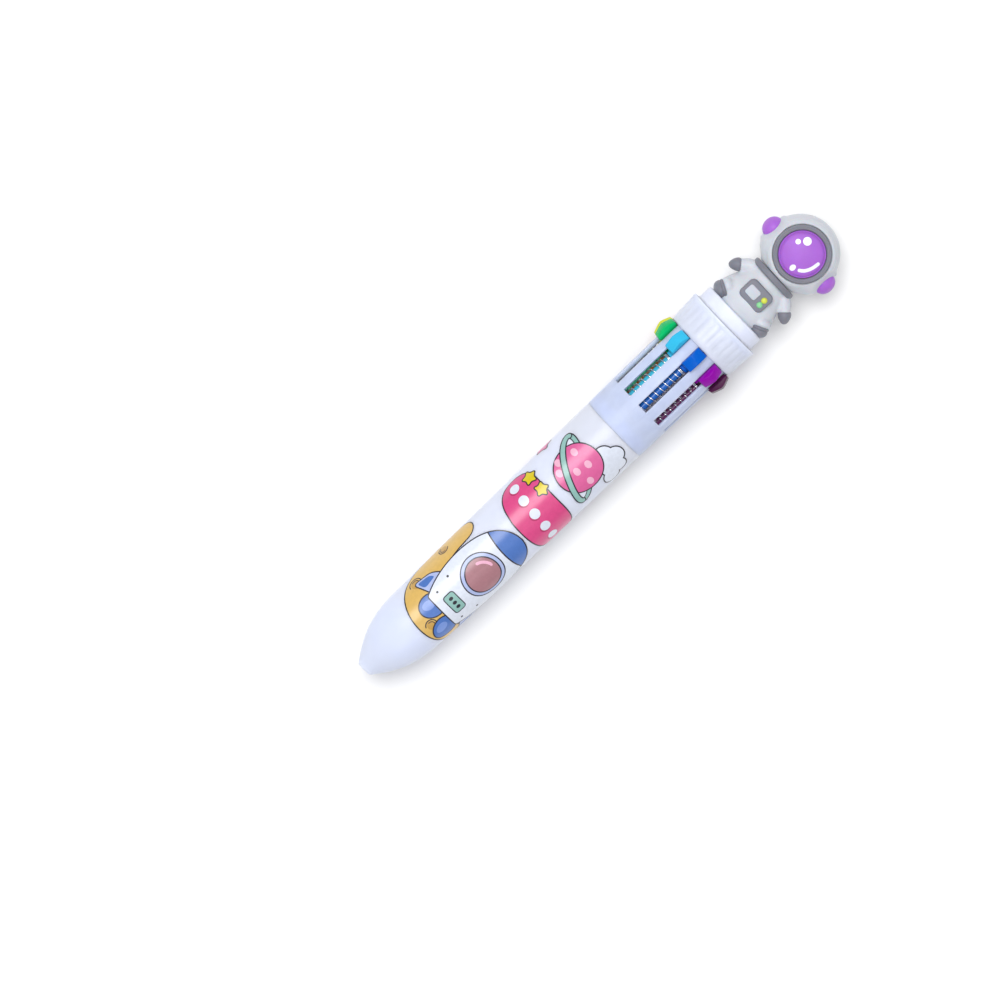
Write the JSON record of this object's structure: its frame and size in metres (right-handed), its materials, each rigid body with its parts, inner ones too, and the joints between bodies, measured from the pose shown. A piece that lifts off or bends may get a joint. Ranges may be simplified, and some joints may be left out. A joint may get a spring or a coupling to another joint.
{
  "type": "multicolor click pen",
  "caption": "Thick retractable ball pen: coloured slide buttons round a slotted barrel, each with its own spring and refill, a flared collar and a soft moulded spaceman topper.",
  "frame": {"origin": "bottom centre of the whole pen's box, with the pen lying on its back", "axes": "+X along the pen from the nose to the topper, +Z the way the figure on top faces, +Y across"},
  "size_m": [0.1462, 0.0218, 0.0211],
  "materials": {
    "barrel_white": "satin moulded",
    "barrel_clear": "satin translucent",
    "plug_white": "satin moulded",
    "inner_plastic": "moulded",
    "spring_steel": "bright drawn wire",
    "point_metal": "nickel plated",
    "suit_rubber": "matt soft vinyl",
    "trim_rubber": "matt soft vinyl",
    "visor_rubber": "satin soft vinyl",
    "blue_plastic": "glossy moulded",
    "purple_plastic": "glossy moulded",
    "maroon_plastic": "glossy moulded",
    "black_plastic": "glossy moulded",
    "red_plastic": "glossy moulded",
    "pink_plastic": "glossy moulded",
    "orange_plastic": "glossy moulded",
    "yellow_plastic": "glossy moulded",
    "green_plastic": "glossy moulded",
    "cyan_plastic": "glossy moulded"
  },
  "bodies": {
    "pen_body": {"lower_barrel": "barrel_white", "upper_barrel": "barrel_clear", "collar": "barrel_white", "top_plug": "plug_white", "spring_seat": "inner_plastic", "guide_core": "inner_plastic", "blue_spring": "spring_steel", "purple_spring": "spring_steel", "maroon_spring": "spring_steel", "black_spring": "spring_steel", "red_spring": "spring_steel", "pink_spring": "spring_steel", "orange_spring": "spring_steel", "yellow_spring": "spring_steel", "green_spring": "spring_steel", "cyan_spring": "spring_steel", "figure_body": "suit_rubber", "figure_chest_panel": "trim_rubber", "figure_neck_ring": "trim_rubber", "figure_helmet": "suit_rubber", "figure_visor_rim": "trim_rubber", "figure_visor": "visor_rubber", "figure_left_foot": "trim_rubber", "figure_left_hand": "trim_rubber", "figure_left_ear_pod": "visor_rubber", "figure_right_foot": "trim_rubber", "figure_right_hand": "trim_rubber", "figure_right_ear_pod": "visor_rubber"},
    "blue_slider_body": {"blue_slider": "blue_plastic"},
    "blue_refill_body": {"blue_refill_tube": "blue_plastic", "blue_refill_point": "point_metal"},
    "purple_slider_body": {"purple_slider": "purple_plastic"},
    "purple_refill_body": {"purple_refill_tube": "purple_plastic", "purple_refill_point": "point_metal"},
    "maroon_slider_body": {"maroon_slider": "maroon_plastic"},
    "maroon_refill_body": {"maroon_refill_tube": "maroon_plastic", "maroon_refill_point": "point_metal"},
    "black_slider_body": {"black_slider": "black_plastic"},
    "black_refill_body": {"black_refill_tube": "black_plastic", "black_refill_point": "point_metal"},
    "red_slider_body": {"red_slider": "red_plastic"},
    "red_refill_body": {"red_refill_tube": "red_plastic", "red_refill_point": "point_metal"},
    "pink_slider_body": {"pink_slider": "pink_plastic"},
    "pink_refill_body": {"pink_refill_tube": "pink_plastic", "pink_refill_point": "point_metal"},
    "orange_slider_body": {"orange_slider": "orange_plastic"},
    "orange_refill_body": {"orange_refill_tube": "orange_plastic", "orange_refill_point": "point_metal"},
    "yellow_slider_body": {"yellow_slider": "yellow_plastic"},
    "yellow_refill_body": {"yellow_refill_tube": "yellow_plastic", "yellow_refill_point": "point_metal"},
    "green_slider_body": {"green_slider": "green_plastic"},
    "green_refill_body": {"green_refill_tube": "green_plastic", "green_refill_point": "point_metal"},
    "cyan_slider_body": {"cyan_slider": "cyan_plastic"},
    "cyan_refill_body": {"cyan_refill_tube": "cyan_plastic", "cyan_refill_point": "point_metal"}
  },
  "joints": [
    {"name": "blue_slide", "type": "slide", "parent": "pen_body", "child": "blue_slider_body", "axis": [-1, 0, 0], "range_m": [0, 0.011], "stiffness_N_per_m": 100, "springref_m": -0.005, "deforming": ["blue_spring"]},
    {"name": "blue_refill_tilt", "type": "hinge", "parent": "blue_slider_body", "child": "blue_refill_body", "pos_m": [0.02588, 0.00006, 0.01649], "axis": [0, -0.9976, -0.0698], "range_deg": [0, 2.15], "deforming": ["blue_refill_tube", "blue_refill_point"]},
    {"name": "purple_slide", "type": "slide", "parent": "pen_body", "child": "purple_slider_body", "axis": [-1, 0, 0], "range_m": [0, 0.011], "stiffness_N_per_m": 100, "springref_m": -0.005, "deforming": ["purple_spring"]},
    {"name": "purple_refill_tilt", "type": "hinge", "parent": "purple_slider_body", "child": "purple_refill_body", "pos_m": [0.02588, -0.00335, 0.01512], "axis": [0, -0.766, -0.6428], "range_deg": [0, 2.15], "deforming": ["purple_refill_tube", "purple_refill_point"]},
    {"name": "maroon_slide", "type": "slide", "parent": "pen_body", "child": "maroon_slider_body", "axis": [-1, 0, 0], "range_m": [0, 0.011], "stiffness_N_per_m": 100, "springref_m": -0.005, "deforming": ["maroon_spring"]},
    {"name": "maroon_refill_tilt", "type": "hinge", "parent": "maroon_slider_body", "child": "maroon_refill_body", "pos_m": [0.02588, -0.0053, 0.012], "axis": [0, -0.2419, -0.9703], "range_deg": [0, 2.15], "deforming": ["maroon_refill_tube", "maroon_refill_point"]},
    {"name": "black_slide", "type": "slide", "parent": "pen_body", "child": "black_slider_body", "axis": [-1, 0, 0], "range_m": [0, 0.011], "stiffness_N_per_m": 100, "springref_m": -0.005, "deforming": ["black_spring"]},
    {"name": "black_refill_tilt", "type": "hinge", "parent": "black_slider_body", "child": "black_refill_body", "pos_m": [0.02588, -0.00505, 0.00833], "axis": [0, 0.3746, -0.9272], "range_deg": [0, 2.15], "deforming": ["black_refill_tube", "black_refill_point"]},
    {"name": "red_slide", "type": "slide", "parent": "pen_body", "child": "red_slider_body", "axis": [-1, 0, 0], "range_m": [0, 0.011], "stiffness_N_per_m": 100, "springref_m": -0.005, "deforming": ["red_spring"]},
    {"name": "red_refill_tilt", "type": "hinge", "parent": "red_slider_body", "child": "red_refill_body", "pos_m": [0.02588, -0.00268, 0.00551], "axis": [0, 0.848, -0.5299], "range_deg": [0, 2.15], "deforming": ["red_refill_tube", "red_refill_point"]},
    {"name": "pink_slide", "type": "slide", "parent": "pen_body", "child": "pink_slider_body", "axis": [-1, 0, 0], "range_m": [0, 0.011], "stiffness_N_per_m": 100, "springref_m": -0.005, "deforming": ["pink_spring"]},
    {"name": "pink_refill_tilt", "type": "hinge", "parent": "pink_slider_body", "child": "pink_refill_body", "pos_m": [0.02588, 0.00089, 0.00462], "axis": [0, 0.9976, 0.0698], "range_deg": [0, 2.15], "deforming": ["pink_refill_tube", "pink_refill_point"]},
    {"name": "orange_slide", "type": "slide", "parent": "pen_body", "child": "orange_slider_body", "axis": [-1, 0, 0], "range_m": [0, 0.011], "stiffness_N_per_m": 100, "springref_m": -0.005, "deforming": ["orange_spring"]},
    {"name": "orange_refill_tilt", "type": "hinge", "parent": "orange_slider_body", "child": "orange_refill_body", "pos_m": [0.02588, 0.0043, 0.006], "axis": [0, 0.766, 0.6428], "range_deg": [0, 2.15], "deforming": ["orange_refill_tube", "orange_refill_point"]},
    {"name": "yellow_slide", "type": "slide", "parent": "pen_body", "child": "yellow_slider_body", "axis": [-1, 0, 0], "range_m": [0, 0.011], "stiffness_N_per_m": 100, "springref_m": -0.005, "deforming": ["yellow_spring"]},
    {"name": "yellow_refill_tilt", "type": "hinge", "parent": "yellow_slider_body", "child": "yellow_refill_body", "pos_m": [0.02588, 0.00624, 0.00912], "axis": [0, 0.2419, 0.9703], "range_deg": [0, 2.15], "deforming": ["yellow_refill_tube", "yellow_refill_point"]},
    {"name": "green_slide", "type": "slide", "parent": "pen_body", "child": "green_slider_body", "axis": [-1, 0, 0], "range_m": [0, 0.011], "stiffness_N_per_m": 100, "springref_m": -0.005, "deforming": ["green_spring"]},
    {"name": "green_refill_tilt", "type": "hinge", "parent": "green_slider_body", "child": "green_refill_body", "pos_m": [0.02588, 0.00599, 0.01279], "axis": [0, -0.3746, 0.9272], "range_deg": [0, 2.15], "deforming": ["green_refill_tube", "green_refill_point"]},
    {"name": "cyan_slide", "type": "slide", "parent": "pen_body", "child": "cyan_slider_body", "axis": [-1, 0, 0], "range_m": [0, 0.011], "stiffness_N_per_m": 100, "springref_m": -0.005, "deforming": ["cyan_spring"]},
    {"name": "cyan_refill_tilt", "type": "hinge", "parent": "cyan_slider_body", "child": "cyan_refill_body", "pos_m": [0.02588, 0.00362, 0.0156], "axis": [0, -0.848, 0.5299], "range_deg": [0, 2.15], "deforming": ["cyan_refill_tube", "cyan_refill_point"]}
  ],
  "couplings": [
    {"joint": "blue_refill_tilt", "follows": "blue_slide", "rad_per_m": 3.4067},
    {"joint": "purple_refill_tilt", "follows": "purple_slide", "rad_per_m": 3.4067},
    {"joint": "maroon_refill_tilt", "follows": "maroon_slide", "rad_per_m": 3.4067},
    {"joint": "black_refill_tilt", "follows": "black_slide", "rad_per_m": 3.4067},
    {"joint": "red_refill_tilt", "follows": "red_slide", "rad_per_m": 3.4067},
    {"joint": "pink_refill_tilt", "follows": "pink_slide", "rad_per_m": 3.4067},
    {"joint": "orange_refill_tilt", "follows": "orange_slide", "rad_per_m": 3.4067},
    {"joint": "yellow_refill_tilt", "follows": "yellow_slide", "rad_per_m": 3.4067},
    {"joint": "green_refill_tilt", "follows": "green_slide", "rad_per_m": 3.4067},
    {"joint": "cyan_refill_tilt", "follows": "cyan_slide", "rad_per_m": 3.4067}
  ]
}
